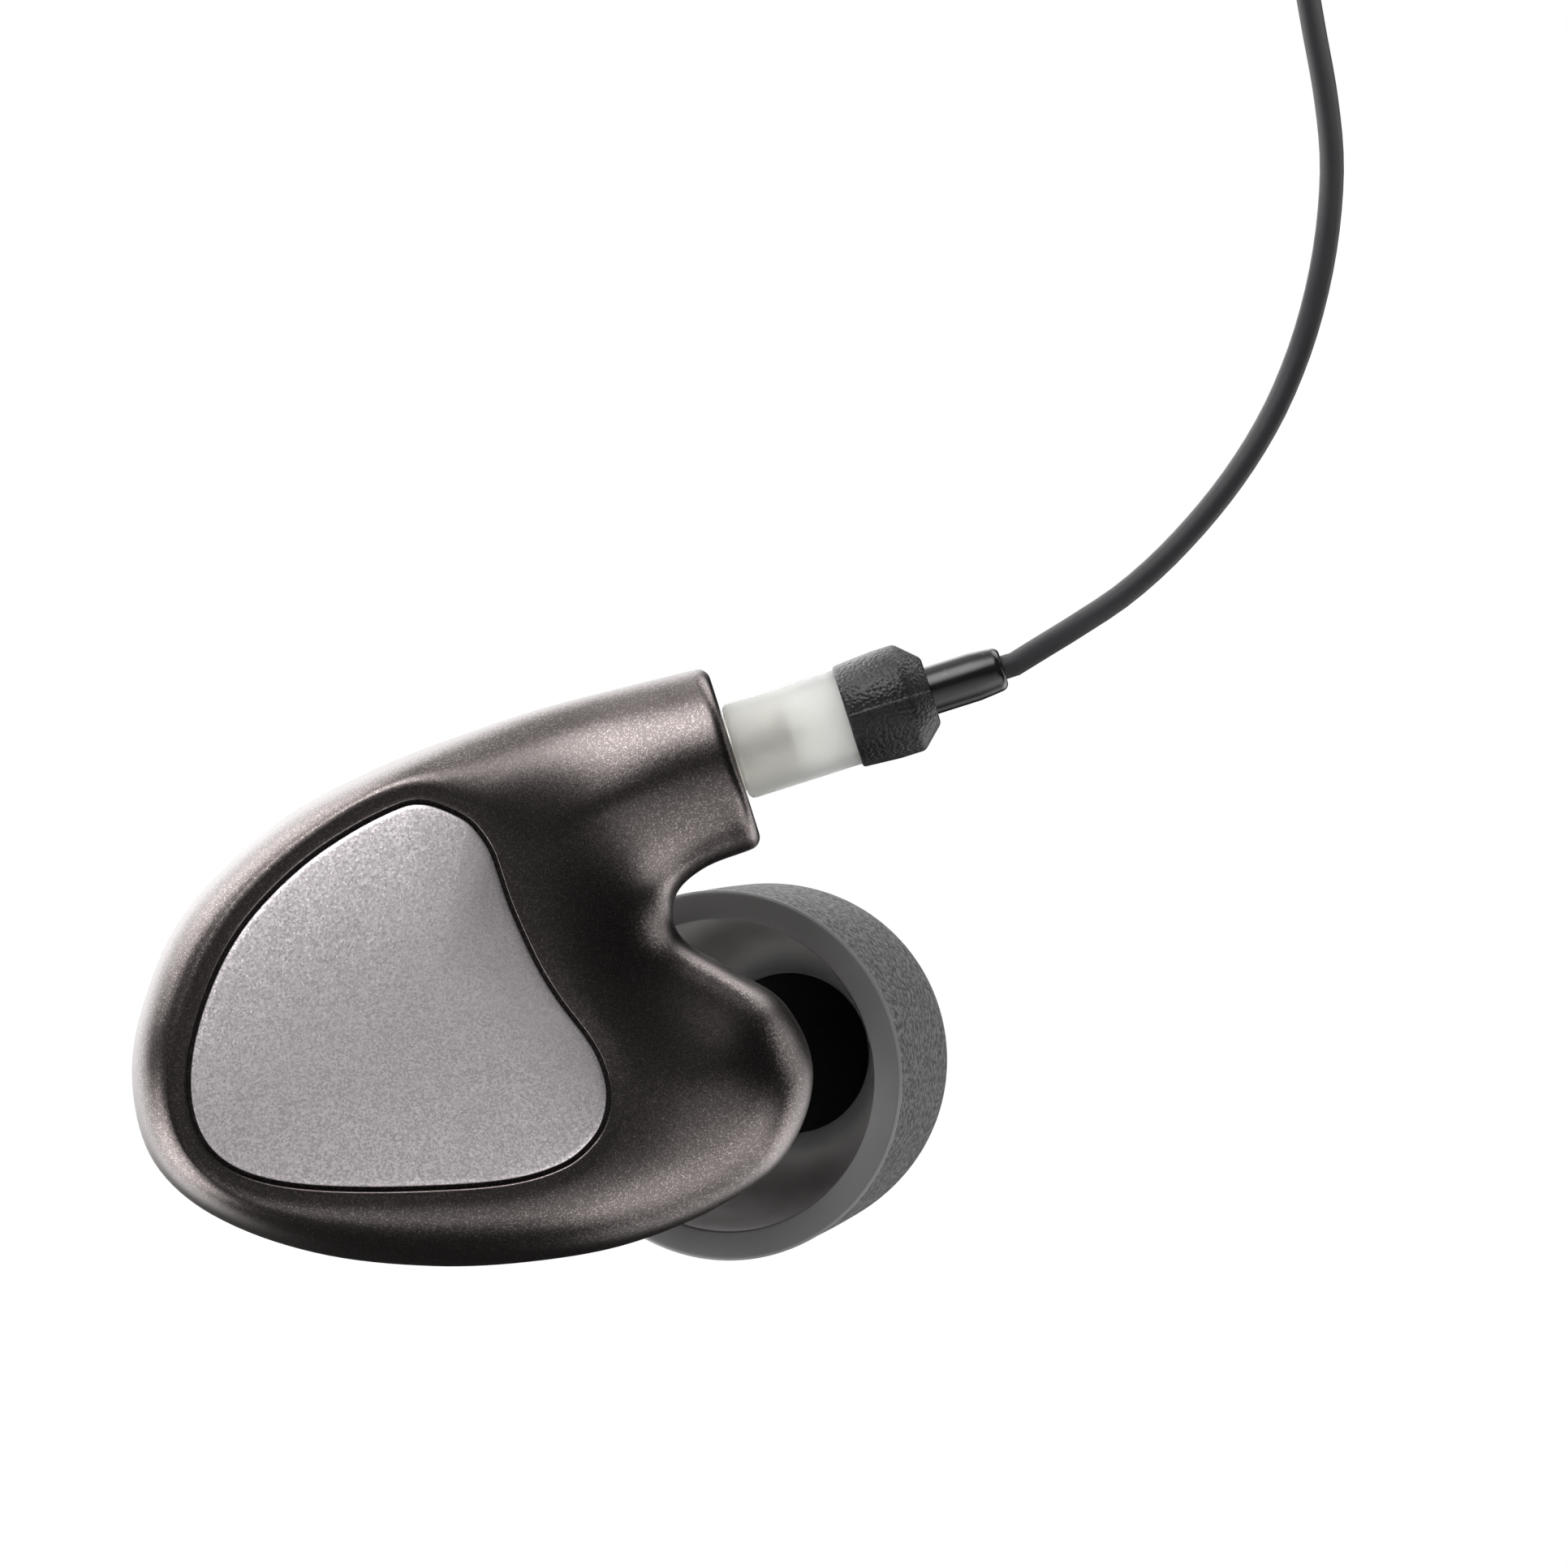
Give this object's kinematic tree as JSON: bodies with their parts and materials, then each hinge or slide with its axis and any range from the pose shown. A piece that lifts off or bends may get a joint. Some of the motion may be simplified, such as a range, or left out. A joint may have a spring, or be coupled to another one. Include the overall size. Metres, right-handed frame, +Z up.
{
  "type": "in-ear monitor",
  "caption": "Single in-ear monitor: moulded drop-shaped housing with an inlaid faceplate, push-on ear tip and detachable coaxial lead coiled up to a three-pole jack.",
  "frame": {"origin": "on the table under the middle of the earpiece's box, without the lead, its coil and the jack", "axes": "+Z up from the table, +X along the earpiece's longer side towards the ear tip, +Y towards the lead's coil"},
  "size_m": [0.0439, 0.0865, 0.016],
  "materials": {
    "bronze_paint": "moulded shell in satin dark bronze metallic paint",
    "blasted_aluminium": "fine bead-blasted silver grey",
    "bonding_film": "thin bonding film",
    "steel": "plain stainless steel",
    "gilt_brass": "gilt contact brass",
    "driver_can": "nickel-plated can",
    "clear_tube": "clear soft tube",
    "damper_green": "green acoustic damper",
    "board_green": "green circuit board",
    "ceramic": "tan ceramic chip",
    "dark_chip": "black chip",
    "enamelled_copper": "enamelled copper wire",
    "white_plastic": "white insulator",
    "frosted_clear_plastic": "frosted translucent",
    "black_plastic": "black, lightly textured",
    "black_rubber": "black silicone",
    "grey_rubber": "dark grey stippled silicone",
    "charcoal_cable": "charcoal semi-matte jacket",
    "strap_black": "black woven strap",
    "contact_plate": "polished gilt plating"
  },
  "bodies": {
    "housing": {"outer_shell": "bronze_paint", "inner_shell": "bronze_paint", "faceplate": "blasted_aluminium", "faceplate_adhesive": "bonding_film", "nozzle": "steel", "nozzle_screen": "steel", "low_driver": "driver_can", "mid_driver": "driver_can", "high_driver": "driver_can", "low_tube": "clear_tube", "mid_tube": "clear_tube", "high_tube": "clear_tube", "low_damper": "damper_green", "mid_damper": "damper_green", "crossover_board": "board_green", "crossover_capacitor": "ceramic", "crossover_resistor": "dark_chip", "socket_barrel": "gilt_brass", "socket_insulator": "white_plastic", "socket_contact": "gilt_brass", "signal_wire": "enamelled_copper", "ground_wire": "enamelled_copper", "low_wire": "enamelled_copper", "mid_wire": "enamelled_copper", "high_wire": "enamelled_copper"},
    "ear_tip": {"tip_core": "black_rubber", "tip_bell": "grey_rubber"},
    "snap_ring": {"snap_ring": "steel"},
    "lead": {"plug_barrel": "gilt_brass", "plug_insulator": "white_plastic", "plug_pin": "gilt_brass", "plug_sleeve": "frosted_clear_plastic", "plug_collar": "black_plastic", "strain_relief": "black_plastic", "lead": "charcoal_cable", "lead_coil": "charcoal_cable", "lead_tail": "charcoal_cable", "coil_tie": "strap_black", "jack_boot": "black_plastic", "jack_handle": "black_plastic", "jack_sleeve": "contact_plate", "jack_outer_insulator": "black_plastic", "jack_ring": "contact_plate", "jack_inner_insulator": "black_plastic", "jack_tip": "contact_plate"}
  },
  "joints": [
    {"name": "ear_tip_pull", "type": "slide", "parent": "housing", "child": "ear_tip", "axis": [0.767, -0.3523, -0.5363], "range_m": [0, 0.012]},
    {"name": "plug_pull", "type": "slide", "parent": "housing", "child": "snap_ring", "axis": [0.7962, 0.572, 0.1972], "range_m": [0, 0.005]},
    {"name": "plug_swivel", "type": "hinge", "parent": "snap_ring", "child": "lead", "pos_m": [0.00217, 0.00686, 0.00589], "axis": [0.7962, 0.572, 0.1972], "continuous": true}
  ]
}
